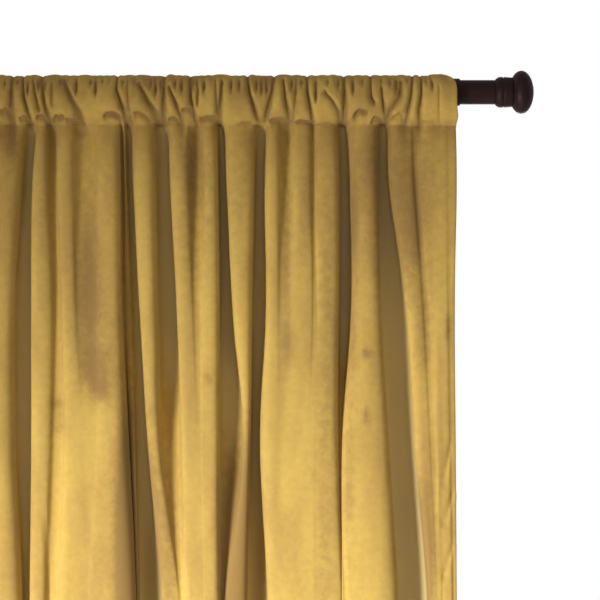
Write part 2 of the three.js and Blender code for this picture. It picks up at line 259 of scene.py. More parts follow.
# uneven ripples of the whole panel, drawn out down the cloth where down is below 1
ripples = [dict(down=0.45, size=60.0, seed=4, share=1.0), dict(down=0.3, size=24.0, seed=5, share=0.5)]
# the heights that each fold is given at, from the seam to the hem
levels = (-35, -113, -248, -372, -528, -2116)
# left and right: edges of each fold's front at the six levels, gully: depth of the valley on its right, where
# 1 is full, reach: how far the fold stands out, rollLeft and rollRight: how steeply its sides turn in, where 2
# is square to the wall and more tucks them under
folds = [
    dict(left=(-325, -325, -324, -324, -325, -325), right=(-292, -290, -288, -289, -292, -290),
         gully=(1, 1, 1, 1, 0.9, 0.9), reach=0.8, rollLeft=2.2, rollRight=1.9),
    dict(left=(-283, -280, -277, -274, -278, -276), right=(-250, -247, -243, -240, -245, -243),
         gully=(1, 1, 0.9, 0.9, 1, 1), reach=1, rollLeft=2.5, rollRight=1.8),
    dict(left=(-241, -236, -232, -230, -233, -231), right=(-212, -208, -205, -206, -205, -203),
         gully=(1, 1, 1, 1, 1, 0.9), reach=0.95, rollLeft=2.4, rollRight=1.9),
    dict(left=(-202, -198, -197, -197, -196, -194), right=(-176, -175, -178, -178, -176, -175),
         gully=(0.9, 0.9, 0.85, 0.9, 0.9, 0.9), reach=0.9, rollLeft=2.4, rollRight=1.8),
    dict(left=(-165, -166, -170, -170, -167, -165), right=(-121, -126, -132, -131, -124, -122),
         gully=(1, 1, 1, 1, 0.85, 0.9), reach=1, rollLeft=2.2, rollRight=(1.6, 1.8, 2.1, 2.1, 2.1, 2.0)),
    dict(left=(-109.5, -114, -114, -114, -116, -113), right=(-98, -96, -92, -94, -99, -97),
         gully=(0.55, 0.35, 0.22, 0.2, 0.2, 0.3), reach=0.9, rollLeft=2.5, rollRight=1.4),
    dict(left=(-88.5, -87, -82, -80, -86, -86), right=(-70, -69, -66, -60, -62, -60),
         gully=(0.4, 0.3, 0.1, 0, 0, 0.1), reach=(0.95, 0.95, 0.96, 0.96, 0.96, 0.97),
         rollLeft=2.6, rollRight=1.4),
    dict(left=(-48, -47, -44, -44, -52, -46), right=(-23.5, -22, -20, -14, -7.5, -7),
         gully=(0.7, 0.66, 0.6, 0.5, 0.36, 0.36), reach=(1, 1, 1, 1.02, 1.02, 1), rollLeft=1.6,
         rollRight=(2.1, 2.1, 2.1, 1.0, 0.5, 0.5)),
    dict(left=(-21, -19.5, -17.5, -12, -5.5, -5.5), right=(-17.5, -15, -10, -6, -3, -3),
         gully=(1, 1, 1, 1, 1, 1), reach=(0.05, 0, 0, 0.3, 0.42, 0.42), rollLeft=0.7, rollRight=2.2),
    dict(left=(-12, -8, -0.5, 7, 20, 19), right=(15, 15, 18, 21, 39, 40),
         gully=(1, 1, 1, 0.45, 0.03, 0.1), reach=(0.95, 0.95, 0.95, 0.9, 0.78, 0.78),
         rollLeft=(2.6, 2.6, 2.6, 2.4, 2.05, 2.05), rollRight=1.8),
    dict(left=(26.5, 30.5, 38, 41, 44, 46), right=(48, 50, 54, 58, 61, 61),
         gully=(0.45, 0.3, 0.06, 0, 0, 0.1), reach=(0.92, 0.92, 0.95, 0.98, 0.98, 0.98),
         rollLeft=2.6, rollRight=1.5),
    dict(left=(62, 64, 63, 63, 66, 66), right=(78, 79.5, 80.5, 81, 81.5, 84),
         gully=(1, 1, 1, 0.7, 0.3, 0.35), reach=1, rollLeft=1.6, rollRight=(2.4, 2.4, 2.4, 2.1, 1.6, 1.6)),
    dict(left=(85, 88.5, 96, 104, 86, 88), right=(118, 116.5, 114, 112.5, 109, 110),
         gully=(1, 1, 1, 1, 1, 1), reach=(0.95, 0.95, 0.9, 0.7, 0.64, 0.64),
         rollLeft=(2.4, 2.4, 2.4, 1.8, 1.3, 1.3), rollRight=2.3),
    dict(left=(129.5, 127.5, 128.5, 123, 131, 128.5), right=(143, 143, 142, 142, 148, 148),
         gully=(0.45, 0.25, 0.05, 0, 0, 0.1), reach=1, rollLeft=2.5, rollRight=1.5),
    dict(left=(156, 156, 156, 155, 158, 158), right=(174, 175, 176, 172, 172, 174),
         gully=(0.22, 0.15, 0.04, 0, 0, 0.1), reach=1, rollLeft=1.6, rollRight=1.5),
    dict(left=(181, 182, 182, 180, 180, 182), right=(204.5, 205, 204, 203, 206, 207),
         gully=(1, 1, 0.88, 0.32, 0.05, 0.2), reach=(0.95, 0.95, 0.96, 0.98, 0.97, 0.95), rollLeft=1.6,
         rollRight=(2.3, 2.3, 2.2, 1.6, 1.3, 1.5)),
    dict(left=(213, 216, 216, 208, 209, 216), right=(247, 246, 249, 256.5, 265.5, 263),
         gully=(1, 1, 1, 1, 1, 0.9), reach=(0.92, 0.92, 0.94, 0.96, 0.98, 0.96), rollLeft=1.9, rollRight=2.3),
    dict(left=(255.5, 258.5, 276, 283.5, 297, 285), right=(279, 282, 292, 298, 305, 303),
         gully=(0.16, 0.12, 0.06, 0.03, 0.02, 0.2), reach=0.9, rollLeft=(2.6, 2.6, 2.4, 2.2, 2.05, 2.05),
         rollRight=1.0),
    dict(left=(289, 290, 300, 304, 311.5, 309), right=(325, 325, 323, 324, 325, 325),
         gully=(0, 0, 0, 0, 0, 0), reach=0.86, rollLeft=1.1, rollRight=1.6),
]
# soft troughs pressed into the folds, and ridges where depth is below 0. The path holds x and z, and width is
# half of the whole
tucks = [
    dict(path=((-104.5, -372), (-101.5, -424), (-98, -466), (-96, -530), (-96, -700)), width=2.2, depth=1.2),
    dict(path=((43, -34), (43, -60)), width=1.6, depth=2),
    dict(path=((43, -56), (43, -62)), width=2.4, depth=-1.2),
    dict(path=((214, -36), (216.5, -55), (219, -74)), width=3, depth=-3),
    dict(path=((206, -330), (206.5, -393), (207, -445), (208.5, -476), (211, -528), (214, -900)), width=1.3,
         depth=1.6),
    dict(path=((176, -36), (179, -120), (182, -220)), width=1.6, depth=0.7),
    dict(path=((309.5, -372), (310.5, -425), (311.5, -490), (311.5, -700), (311, -2040)), width=1.6,
         depth=2.0),
    dict(path=((306, -60), (305.5, -200), (305.5, -330), (307, -390)), width=1.8, depth=-0.9),
    dict(path=((319, -366), (312.5, -405)), width=2.2, depth=1.6),
    dict(path=((322, -415), (312.5, -448)), width=2.4, depth=1.6),
    dict(path=((321, -470), (312.5, -502)), width=2.2, depth=1.6),
    dict(path=((150, -260), (146, -330), (144, -400)), width=6, depth=0.7),
]
# painted shade: slots that get less of the paler fold colour: middle x and z, half width and height, strength
darkSlots = [
    dict(x=9, z=-510, wide=14, tall=90, strength=0.6),
    dict(x=124, z=-500, wide=12, tall=110, strength=0.8),
]
# where the pile is rubbed dark, and painted shade in the low slots and on the ledges beside them, given in the
# same way
napAndShadeMarks = [
    dict(x=-138, z=-50, wide=13, tall=28, strength=0.6),
    dict(x=-53, z=-150, wide=11, tall=100, strength=0.45),
    dict(x=-51, z=-220, wide=19, tall=60, strength=0.65),
    dict(x=-48, z=-285, wide=20, tall=26, strength=0.6),
    dict(x=-42, z=-310, wide=11, tall=16, strength=0.6),
    dict(x=-88, z=-322, wide=8, tall=6, strength=0.6),
    dict(x=-86, z=-345, wide=10, tall=18, strength=0.4),
    dict(x=-100, z=-130, wide=9, tall=90, strength=0.3),
    # painted shade: these five darken the low slots and the ledges beside them
    dict(x=8, z=-480, wide=13, tall=110, strength=1.3),
    dict(x=-12, z=-480, wide=15, tall=150, strength=1.7),
    dict(x=115, z=-500, wide=9, tall=120, strength=1.3),
    dict(x=100, z=-490, wide=17, tall=110, strength=1.7),
    dict(x=289, z=-510, wide=11, tall=100, strength=1.3),
    dict(x=53, z=-150, wide=8, tall=110, strength=0.45),
    dict(x=52, z=-80, wide=12, tall=40, strength=0.4),
    dict(x=69, z=-296, wide=8, tall=9, strength=0.5),
    dict(x=70, z=-120, wide=10, tall=90, strength=0.3),
    dict(x=30, z=-490, wide=12, tall=70, strength=0.45),
    dict(x=102, z=-90, wide=12, tall=60, strength=0.35),
    dict(x=150, z=-140, wide=6, tall=100, strength=0.55),
    dict(x=152, z=-262, wide=8, tall=24, strength=0.5),
    dict(x=170, z=-120, wide=10, tall=70, strength=0.3),
    dict(x=192, z=-200, wide=9, tall=130, strength=0.4),
    dict(x=190, z=-440, wide=12, tall=170, strength=0.4),
    dict(x=234, z=-271, wide=5, tall=6, strength=0.9),
    dict(x=233, z=-336, wide=5, tall=12, strength=0.6),
    dict(x=219, z=-250, wide=7, tall=80, strength=0.4),
    dict(x=220, z=-130, wide=5, tall=50, strength=0.8),
    dict(x=262, z=-130, wide=26, tall=100, strength=0.85),
    dict(x=300, z=-110, wide=18, tall=90, strength=0.35),
    dict(x=214, z=-400, wide=7, tall=90, strength=0.4),
    dict(x=240, z=-70, wide=14, tall=40, strength=0.4),
    dict(x=272, z=-320, wide=6, tall=34, strength=0.5),
    dict(x=284, z=-130, wide=6, tall=48, strength=0.5),
    dict(x=292, z=-255, wide=10, tall=60, strength=0.4),
    dict(x=294, z=-470, wide=8, tall=90, strength=0.4),
    dict(x=317, z=-245, wide=4, tall=20, strength=0.6),
]


def alongDrop(column, z):
    return hermite(np.log(-np.array(levels, float)), column, np.log(-z))


def everyLevel(value, z):
    # one value for all levels, or a column of them
    return alongDrop(np.broadcast_to(value, len(levels)), z)


def foldSection(z):
    # x and y of the cloth at each height in z, in arrays of heights by columns
    p = panel
    opened = 1 - np.exp((z - p["seam"]) / p["opening"])
    front = p["seamReach"] + (p["foldFront"] - p["seamReach"]) * opened
    deepened = 1 - np.exp((z - p["seam"]) / p["valleyOpening"])
    back = p["seamReach"] + (p["foldBack"] - p["seamReach"]) * deepened
    left = [alongDrop(f["left"], z) for f in folds]
    right = [alongDrop(f["right"], z) for f in folds]
    gully = [np.clip(alongDrop(f["gully"], z), 0, 1.05) for f in folds]
    crestX = [(a + b) / 2 for a, b in zip(left, right)]
    crestY = [-front * everyLevel(f["reach"], z) for f in folds]
    soft = p["softRoll"]
    # each side of a fold: start x and y, end x and y, where its edge shows, how far it rolls, steps
    sides = [(left[0], crestY[0] + p["edgeTurn"], crestX[0], crestY[0], (left[0] + crestX[0]) / 2, soft,
              p["edgeSteps"])]
    for i in range(len(folds) - 1):
        valleyX = (right[i] + left[i + 1]) / 2
        valleyY = crestY[i] + (back - crestY[i]) * gully[i]
        turned = gully[i] * opened
        rollRight = soft + (everyLevel(folds[i]["rollRight"], z) - soft) * turned
        rollLeft = soft + (everyLevel(folds[i + 1]["rollLeft"], z) - soft) * turned
        steps = p["softSteps"] if max(folds[i]["gully"][:4]) < p["softGully"] else p["deepSteps"]
        sides.append((crestX[i], crestY[i], valleyX, valleyY, right[i], rollRight, steps))
        sides.append((valleyX, valleyY, crestX[i + 1], crestY[i + 1], left[i + 1], rollLeft, steps))
    sides.append((crestX[-1], crestY[-1], right[-1], crestY[-1] + p["edgeTurn"], (crestX[-1] + right[-1]) / 2,
                  soft, p["edgeSteps"]))
    xs, ys = [], []
    for x0, y0, x3, y3, edge, roll, steps in sides:
        half = (x3 - x0) / 2
        lean = soft * (edge - (x0 + half))
        x1 = x0 + roll * half + lean
        x2 = x3 - roll * half + lean
        for t in np.arange(steps) / steps:
            a, b, c, d = (1 - t) ** 3, 3 * t * (1 - t) ** 2, 3 * t * t * (1 - t), t ** 3
            xs.append(a * x0 + b * x1 + c * x2 + d * x3)
            ys.append((a + b) * y0 + (c + d) * y3)
    xs.append(right[-1])
    ys.append(crestY[-1] + p["edgeTurn"])
    return np.stack(xs, 1), np.stack(ys, 1)


def pressed(x, z):
    # how far the tucks push the cloth towards the wall at x and z
    total = 0 * x
    for tuck in tucks:
        pathX = [q[0] for q in tuck["path"]]
        pathDrop = [-q[1] for q in tuck["path"]]
        away = (x - np.interp(-z, pathDrop, pathX)) / tuck["width"]
        fade = max(4, 0.3 * (pathDrop[-1] - pathDrop[0])) if len(pathX) > 2 else 4
        top = smoothStep(-pathDrop[0] + 3, -pathDrop[0] - fade, z)
        bottom = smoothStep(-pathDrop[-1] - fade, -pathDrop[-1], z)
        total = total + tuck["depth"] * bell(away) * (top * bottom)
    return total


# gathers of the rod pocket: short ones fade out below the rod, long ones reach the seam
# path: x and z down the front, width: half widths to the left and right, depth: 1 draws the cloth in fully
gathers = [
    dict(path=((-133.5, 14), (-134, -8), (-134, -36)), width=(2.6, 2.6), depth=1),
    dict(path=((-122.5, 14), (-121, -6), (-116, -26), (-115, -36)), width=(2.4, 1.6), depth=1),
    dict(path=((-112, 10), (-108.5, -8), (-105.5, -21)), width=(1.8, 1.6), depth=0.8),
    dict(path=((-103, 14), (-100, -12), (-95, -31), (-95, -37)), width=(2, 1.4), depth=1),
    dict(path=((-92, 5), (-92, -16)), width=(2, 2), depth=0.6),
    dict(path=((-79, 10), (-71, -8), (-64, -21), (-60, -37)), width=(6.5, 1.6), depth=1),
    dict(path=((-25.5, 14), (-25.5, 0), (-18, -21), (-16, -34)), width=(2, 2), depth=0.95),
    dict(path=((-14, 10), (-13, -18), (-10, -37)), width=(1.6, 1.6), depth=0.5),
    dict(path=((-1.5, 6), (8, -10), (16, -23), (19, -37)), width=(5.5, 1.6), depth=1),
    dict(path=((24, 14), (23.5, -12), (22.5, -37)), width=(2.6, 2), depth=1),
    dict(path=((29.5, 2), (36, -12), (41, -26), (42, -37)), width=(3, 1.6), depth=0.9),
    dict(path=((50.5, 12), (51.5, -8), (55.5, -29), (57.5, -37)), width=(2, 1.6), depth=1),
    dict(path=((59, -1), (58, -16)), width=(1.6, 1.6), depth=0.7),
    dict(path=((76.5, 10), (78.5, -14), (79.5, -31)), width=(1.8, 1.8), depth=0.6),
    dict(path=((83.5, 8), (82.5, -8), (80, -31), (80, -37)), width=(2, 2), depth=1),
    dict(path=((109.5, 14), (112, -3), (118, -21), (121, -31)), width=(2, 1.8), depth=1),
    dict(path=((137, 14), (135.5, 0), (130.5, -21), (127.5, -31)), width=(2, 2.4), depth=1),
    dict(path=((147, 10), (149, -8), (152.5, -23), (152.5, -37)), width=(2.4, 1.8), depth=0.9),
    dict(path=((160.5, 10), (159.5, -12), (157, -34)), width=(1.8, 1.8), depth=0.6),
    dict(path=((171.5, 14), (172, -3), (176.5, -25), (177.5, -37)), width=(2, 1.6), depth=1),
    dict(path=((191, -3), (198, -10), (204.5, -21), (206.5, -36)), width=(3.5, 1.4), depth=0.75),
    dict(path=((209.5, 14), (210.5, -8), (209.5, -37)), width=(2.6, 2.4), depth=1),
    dict(path=((237, 14), (237.5, -6), (241, -13)), width=(2.4, 1.8), depth=0.8),
    dict(path=((248.5, 0), (250, -12), (252, -23)), width=(1.3, 1.3), depth=0.8),
    dict(path=((269, 8), (268, -6), (257.5, -21), (252, -37)), width=(4, 2.4), depth=0.95),
    dict(path=((280.5, 14), (279, -5), (275, -27), (273, -36)), width=(2, 1.8), depth=0.85),
    dict(path=((289.5, 14), (289.5, -3), (287.5, -21), (288.5, -37)), width=(2, 1.8), depth=0.9),
    dict(path=((308, 2), (308, -36)), width=(1.3, 1.3), depth=0.3),
]
# short gathers, crowded together over the rod: x and the height that each fades at
shortGathers = [(-141, 2), (-127.5, 4), (-117, -6), (-106, -1), (-99.5, -2), (-83.5, 4), (-75, 8), (-67, -5),
                (-52.5, 3), (-47, -6), (-40, 6), (-33, 8), (-19, 4), (-7, 8), (10, 2), (15, -6), (20.5, 1),
                (35, 1), (42, -3), (53.5, 0), (58, 2), (65, -3), (72.5, 8), (93, -2), (101.5, 0), (119, -2),
                (124.5, -4), (130, -4), (155.5, 0), (166, 4), (180.5, -12), (193, 4), (203.5, 1), (219, -4),
                (229, 6), (248, 6), (257.5, 4), (263.5, -2), (275, 8), (295, 6), (301, 0)]
# the cloth folds under itself where a puff hangs over the seam: middle x, half width, z, depth, arch and tilt
underFolds = [(-142, 9, -18.5, 0.9, 1, 0.5), (-122, 5.5, -25, 0.8, 3, -1), (-103.5, 6, -23.5, 0.9, 4, -1),
              (-86, 6, -24.5, 0.9, 1.5, 1.5), (-73, 7, -27, 0.8, 1, -1.5), (-30, 9, -21, 1, 3.5, -0.5),
              (1, 9, -22.5, 0.8, 2.5, -4), (33.5, 6, -25.5, 0.9, 3.5, -1), (47, 5.5, -17.5, 0.8, 0.5, 0.5),
              (69, 9, -25, 1, 0.8, 0.5), (107, 9, -30, 0.6, 2, 1), (141, 9, -27, 1, 1, 1),
              (167, 8, -28.5, 0.9, 2, 0.5), (190, 10, -31, 0.5, 2, 1), (227, 7.5, -18.5, 1, 4, 1.5),
              (243, 6, -25.5, 0.9, 4, 1), (265, 6.5, -23, 0.6, 3, 2), (296, 8, -29, 0.5, 1.5, 0)]

# underStop, seamStop and backStops are counted along the stops of the section below
pocket = dict(columns=880, frontRows=66, backRows=36, endLip=4, seed=17, gatherShade=0.85,
              fullness=0.26, fullnessSize=30.0, fullnessMiddle=0.8,
              hidden=-150, hiddenPitch=11.0, aboveAll=30.0, pressedFrom=12.0,
              flare=0.9, widen=1.1, softness=1.35, drift=9.0,
              shortWidth=2.8, shortDepth=0.85, shortTop=0.45, shortDrift=6.0,
              underWidth=1.0, underWander=1.2, underSize=7.0, underSeed=31, underEase=0.65, underFall=10.0,
              underStop=6, wander=0.8, wanderSize=10.0, wanderSeed=9,
              seamStop=2.2, backStops=3.5, seamGap=1.5, endFade=7.0, drawnOver=45.0,
              shoulder=((3, 0), (9, 0.8), (12.5, 2.5), (15, 5), (17.2, 9), (19, 15)),
              bulge=1.6, bulgeAt=-27.0, bulgeSize=7.0)
# the pocket's section, y and z at each stop from the seam over the rod to the wall side: where it puffs out,
# and where it is drawn in
puffed = [(-5.5, -35), (-9, -32), (-12.5, -28.5), (-17.5, -25), (-22.5, -20), (-25, -12), (-24.5, -3),
          (-21, 6), (-14.5, 13.5), (-6, 18), (3, 19), (12.5, 16.5), (20.5, 9), (23.5, -3), (22.5, -14),
          (17.5, -24), (10.5, -31.5), (6.5, -36.5)]
drawn = [(-2.5, -35), (-3.5, -32), (-5, -28.5), (-8, -24.5), (-12, -19), (-15, -11), (-15.8, -2), (-14.2, 7),
         (-10.2, 12), (-4.2, 15.2), (2.2, 15.6), (8.8, 12.9), (14, 7), (15.8, -2), (15.2, -11), (12.2, -20),
         (8.4, -29), (6.5, -36.5)]
topStop = 9.6  # the place among the stops of the top of the rod


def hiddenGathers():
    # the part of the heading to the left, as uneven as the rest
    p = pocket
    draw = np.random.default_rng(p["seed"])
    found = []
    x = -panel["half"] + 9
    while x < p["hidden"]:
        lean = draw.uniform(-4, 9)
        end = draw.choice([-37, -37, -12, -4, 2])
        path = ((x, 14), (x + 1, end))
        if end < -20:
            path = ((x, 14), (x + lean * 0.4, -6), (x + lean, -26), (x + lean, min(end, -27)))
        found.append(dict(path=path, width=(draw.uniform(1.7, 4), draw.uniform(1.5, 2.4)),
                          depth=draw.uniform(0.6, 1)))
        x += p["hiddenPitch"] * draw.uniform(0.4, 1.2)
    return found


def gathered(x, place, z):
    # how far the cloth is drawn in: place runs along the section, z is the height there, in arrays of one shape
    p = pocket
    draw = np.random.default_rng(p["seed"] + 1)
    over = np.clip((place - topStop) / (len(puffed) - 1 - topStop), 0, 1)
    z = np.where(place > topStop, p["aboveAll"], z)  # behind the rod every gather runs on as at its top end
    full = 1 - p["fullness"] * (p["fullnessMiddle"] + waves(x, place * 5, p["fullnessSize"], p["seed"]))
    for g in gathers + hiddenGathers():
        drift, thin = draw.uniform(-p["drift"], p["drift"]), draw.uniform(0.4, 1)
        pathX = [q[0] for q in g["path"]][::-1]
        pathZ = [q[1] for q in g["path"]][::-1]
        away = x - np.interp(z, pathZ, pathX) - drift * over
        wide = np.where(away < 0, *g["width"]) * p["widen"] * (1 + p["flare"] * smoothStep(0, -36, z))
        ends = 1 if pathZ[0] < panel["seam"] else smoothStep(pathZ[0] - 5, pathZ[0] + 3, z)
        if pathZ[-1] < p["pressedFrom"]:
            ends = ends * smoothStep(pathZ[-1] + 9, pathZ[-1], z)
        groove = np.exp(-(np.abs(away) / wide) ** p["softness"])
        full = full * (1 - g["depth"] * ends * (1 - over * (1 - thin)) * groove)
    for x0, fades in shortGathers:
        drift = draw.uniform(-p["shortDrift"], p["shortDrift"])
        pointed = 0.4 + 0.8 * np.clip((z - fades + 4) / (20 - fades), 0, 1)
        away = (x - x0 - drift * over) / (p["shortWidth"] * pointed)
        deep = p["shortDepth"] * (1 - (1 - p["shortTop"]) * smoothStep(6, 16, z))
        full = full * (1 - deep * smoothStep(fades - 4, fades + 6, z) * np.exp(-np.abs(away) ** 1.5))
    return 1 - full


def underFolded(x, z, front):
    # the puffs hang over like arches, and the cloth below each one is drawn in
    total = 0 * x
    p = pocket
    for x0, half, z0, depth, curve, tilt in underFolds:
        aside = (x - x0) / half
        uneven = p["underWander"] * waves(x, 0 * x, p["underSize"], p["underSeed"])
        arch = z0 - curve * aside ** 2 + tilt * aside + uneven
        below = smoothStep(arch + p["underWidth"], arch - p["underWidth"], z)
        eased = 1 - p["underEase"] * smoothStep(arch - p["underWidth"], arch - p["underFall"], z)
        total = np.maximum(total, depth * below * eased * smoothStep(1.3, 0.7, np.abs(aside)))
    return total * front


# the rows are closest under the seam, and wide apart down in the plain part
heights = np.concatenate([np.linspace(panel["seam"], panel["closeTo"], panel["closeRows"])[:-1],
                          np.linspace(panel["closeTo"], panel["fineTo"], panel["fineRows"])[:-1],
                          np.linspace(panel["fineTo"], panel["hem"], panel["plainRows"])])
clothX, clothY = foldSection(heights)
clothZ = np.repeat(heights[:, None], clothX.shape[1], 1)
seamX = clothX[0].copy()


def seamGather(x):
    return gathered(x, 0 * x, 0 * x + panel["seam"]) - pocket["fullness"]


def seamWander(x):
    return panel["seamWander"] * waves(x, 0 * x, panel["wanderSize"], panel["wanderSeed"])


fading = np.exp((clothZ - panel["seam"]) / panel["gatherFade"])
clothY += panel["gatherReach"] * seamGather(clothX) * fading
seamY = clothY[0].copy()
clothZ += seamWander(clothX) * fading
clothY += pressed(clothX, clothZ) * (1 - fading)
rippled = sum(r["share"] * waves(clothX, clothZ * r["down"], r["size"], r["seed"]) for r in ripples)
clothY += panel["wander"] * rippled * (1 - fading)

# the side hems turn back behind the cloth, then the bottom hem turns up with them
alongX, alongY = np.gradient(clothX, axis=1), np.gradient(clothY, axis=1)
size = np.hypot(alongX, alongY)
wallX, wallY = -alongY / size, alongX / size


def turnedBack(column, sign):
    # columns round a side edge and along the strip behind it: x, y and the column of cloth that each follows
    p = panel
    offsets = []
    for step in range(1, p["hemSteps"]):
        angle = math.pi * step / p["hemSteps"]
        behind, out = p["hemTurn"] * (1 - math.cos(angle)), sign * p["hemTurn"] * math.sin(angle)
        offsets.append((column, behind, out))
    for step in range(p["sideHemColumns"] + 1):
        offsets.append((column - sign * step, p["hemGap"], 0))
    return [(clothX[:, c] + wallX[:, c] * behind + alongX[:, c] / size[:, c] * out,
             clothY[:, c] + wallY[:, c] * behind + alongY[:, c] / size[:, c] * out, c)
            for c, behind, out in offsets]


def setBehind(row, behind, down):
    # one row of the cloth again, set behind it and lower
    return np.stack([hemmedX[row] + normalX[row] * behind, hemmedY[row] + normalY[row] * behind,
                     hemmedZ[row] - down], -1)[None]


def markAt(mark, places):
    # how much a mark shows at each place: its strength in the middle, fading out around it
    aside, above = (places[..., 0] - mark["x"]) / mark["wide"], (places[..., 2] - mark["z"]) / mark["tall"]
    return mark["strength"] * np.exp(-(aside ** 2 + above ** 2))


def setOnPoints(obj, name, values):
    # a value for each point of the mesh, which the velvet's shader reads
    obj.data.attributes.new(name, "FLOAT", "POINT").data.foreach_set("value", values.reshape(-1))


lastColumn = clothX.shape[1] - 1
columns = turnedBack(0, -1)[::-1]
columns += [(clothX[:, c], clothY[:, c], c) for c in range(lastColumn + 1)]
columns += turnedBack(lastColumn, 1)
source = [c for x, y, c in columns]
hemmedX = np.stack([x for x, y, c in columns], 1)
hemmedY = np.stack([y for x, y, c in columns], 1)
hemmedZ = clothZ[:, source]
normalX, normalY = wallX[:, source], wallY[:, source]
rowsUp = int(np.sum(heights < panel["hem"] + panel["bottomHem"])) + 1
points = [np.stack([hemmedX, hemmedY, hemmedZ], -1)]
for step in range(1, panel["hemSteps"]):
    angle = math.pi * step / panel["hemSteps"]
    behind, down = 2 * panel["hemTurn"] * (1 - math.cos(angle)), 2 * panel["hemTurn"] * math.sin(angle)
    points.append(setBehind(-1, behind, down))
for row in range(len(heights) - 1, len(heights) - 1 - rowsUp, -1):
    points.append(setBehind(row, 2 * panel["hemGap"], 0))
points = np.concatenate(points)
faces = gridFaces(*points.shape[:2])
curtainPanel = meshObject("velvet_panel", points.reshape(-1, 3), faces, velvetCloth)
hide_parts("curtain_panel")
# painted light: the cloth lying back towards the wall gets the paler fold colour, less of it in the dark slots
paintedLightMask = smoothStep(panel["paintedLightFrom"], panel["paintedLightTo"], points[..., 1])
for slot in darkSlots:
    paintedLightMask *= 1 - markAt(slot, points)
paintedLightMask[len(heights):] = 0  # the hem that is turned up faces the wall and the light there
setOnPoints(curtainPanel, "deep", paintedLightMask)
rubbedAndShaded = 0 * points[..., 0]
for mark in napAndShadeMarks:
    rubbedAndShaded += markAt(mark, points)
# painted shade in the gathers just under the seam: the pile is darkened where the cloth is drawn together
nearSeam = np.exp((points[..., 2] - panel["seam"]) / panel["gatherFade"])
rubbedAndShaded += panel["gatherShade"] * seamGather(points[..., 0]) * nearSeam
setOnPoints(curtainPanel, "napAndShade", rubbedAndShaded)
print("panel", points.shape[:2], 2 * (points.shape[0] - 1) * (points.shape[1] - 1), "triangles")

# the rod pocket runs from the seam over the rod and down to the seam behind it
stops = np.arange(len(puffed))
places = np.concatenate([np.linspace(0, topStop, pocket["frontRows"]),
                         np.linspace(topStop, len(puffed) - 1, pocket["backRows"])[1:]])
outY, outZ = [hermite(stops, [q[k] for q in puffed], places)[:, None] for k in (0, 1)]
inY, inZ = [hermite(stops, [q[k] for q in drawn], places)[:, None] for k in (0, 1)]
flatX = np.linspace(-panel["half"], panel["half"], pocket["columns"])[None, :]
gridX = np.repeat(flatX, len(places), 0)
gridPlace = np.repeat(places[:, None], pocket["columns"], 1)
gridZ = np.repeat(outZ, pocket["columns"], 1)
edge = smoothStep(panel["half"] - pocket["endFade"], panel["half"], np.abs(gridX))
share = gathered(gridX, gridPlace, gridZ) * (1 - edge)
tucked = underFolded(gridX, gridZ, gridPlace < pocket["underStop"])
share = np.clip(1 - (1 - share) * (1 - tucked), 0, 1)
pocketY = outY + (inY - outY) * share
pocketZ = outZ + (inZ - outZ) * share
# both ends of the section meet the panel's gathered top edge at the seam
meetY = np.interp(gridX, seamX, seamY)
toSeam = smoothStep(pocket["seamStop"], 0, gridPlace)
pocketY = pocketY * (1 - toSeam) + meetY * toSeam
toBack = smoothStep(len(puffed) - pocket["backStops"], len(puffed) - 1, gridPlace)
pocketY = pocketY * (1 - toBack) + (meetY + pocket["seamGap"]) * toBack
pocketZ = pocketZ + seamWander(gridX) * np.maximum(toSeam, toBack)
uneven = pocket["wander"] * waves(gridX, gridPlace * 4, pocket["wanderSize"], pocket["wanderSeed"])
pocketY += uneven * smoothStep(0, 2, gridPlace) * (1 - share)
# each end is drawn in over the top of the rod, and stands out a little under it
nearEnd = smoothStep(panel["half"] - pocket["drawnOver"], panel["half"], np.abs(gridX))
pull = -np.interp(pocketZ, *zip(*pocket["shoulder"]))
pull += pocket["bulge"] * bell((pocketZ - pocket["bulgeAt"]) / pocket["bulgeSize"])
pocketX = gridX + np.sign(gridX) * nearEnd * pull
rim = np.stack([pocketX, pocketY, pocketZ], -1)
rodAxis = np.stack([0 * pocketX, 0 * pocketY, np.minimum(pocketZ, 0) * 0.8], -1)
inward = rodAxis - np.stack([0 * pocketX, pocketY, pocketZ], -1)
inward /= np.linalg.norm(inward, axis=-1, keepdims=True)
lip = []
for step in range(1, panel["hemSteps"] + 1):
    angle = math.pi * step / panel["hemSteps"]
    lip.append((panel["hemTurn"] * (1 - math.cos(angle)), panel["hemTurn"] * math.sin(angle)))
lip.append((panel["hemGap"], -pocket["endLip"]))
strips = []
for column, sign in ((0, -1), (-1, 1)):
    strips.append([rim[:, column] + inward[:, column] * behind + np.array([sign * out, 0, 0])
                   for behind, out in lip])
lipped = np.concatenate([np.stack(strips[0][::-1], 1), rim, np.stack(strips[1], 1)], 1)
outwards = [face[::-1] for face in gridFaces(*lipped.shape[:2])]
rodPocket = meshObject("velvet_rod_pocket", lipped.reshape(-1, 3), outwards, velvetCloth)
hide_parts("curtain_panel")
drawnIn = np.pad(share, ((0, 0), (len(lip), len(lip))), mode="edge")
# painted shade: the pocket's pile is darkened where the cloth is drawn in to its gathers
setOnPoints(rodPocket, "napAndShade", pocket["gatherShade"] * smoothStep(0.3, 0.95, drawnIn))
print("pocket", lipped.shape[:2], 2 * (lipped.shape[0] - 1) * (lipped.shape[1] - 1), "triangles")

# stitches of the seam
stitch = dict(pitch=3.2, length=2.3, radius=0.22, lift=0.15, drop=0.5, fromEnd=2.0, below=0.4, sides=6,
              steps=4)


